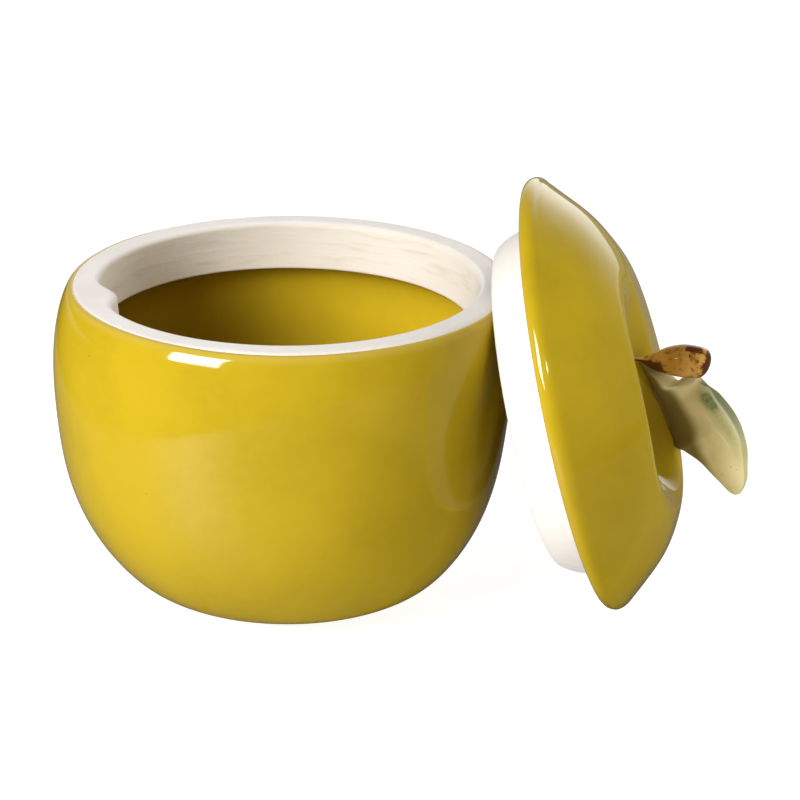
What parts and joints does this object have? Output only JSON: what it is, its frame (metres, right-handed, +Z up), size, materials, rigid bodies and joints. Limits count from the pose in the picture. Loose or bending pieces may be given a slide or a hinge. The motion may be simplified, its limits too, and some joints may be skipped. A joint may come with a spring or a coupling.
{
  "type": "olive jar",
  "caption": "Fruit-shaped stoneware olive jar with a bare rim and a glazed body, its loose lid with stem and leaf taken off and leaned against the side.",
  "frame": {"origin": "middle of the jar's foot ring, on the surface that the jar stands on", "axes": "+Z up along the jar's axis, +X from the jar towards the lid that leans on it"},
  "size_m": [0.181, 0.122, 0.112],
  "materials": {
    "bare_clay": "unglazed, fine matt stoneware",
    "yellow_glaze": "glossy olive-yellow glaze",
    "stem_glaze": "glossy mottled brown glaze",
    "leaf_glaze": "glossy khaki glaze, greener at the edge"
  },
  "bodies": {
    "jar": {"jar_body": "bare_clay", "jar_glaze_outside": "yellow_glaze", "jar_glaze_inside": "yellow_glaze"},
    "lid": {"lid_body": "bare_clay", "lid_glaze_outside": "yellow_glaze", "lid_glaze_inside": "yellow_glaze", "stem": "stem_glaze", "leaf": "leaf_glaze"}
  },
  "joints": [
    {"name": "lid_lift", "type": "slide", "parent": "jar", "child": "lid", "axis": [0, 0, 1], "range_m": [0, 0.1]}
  ]
}
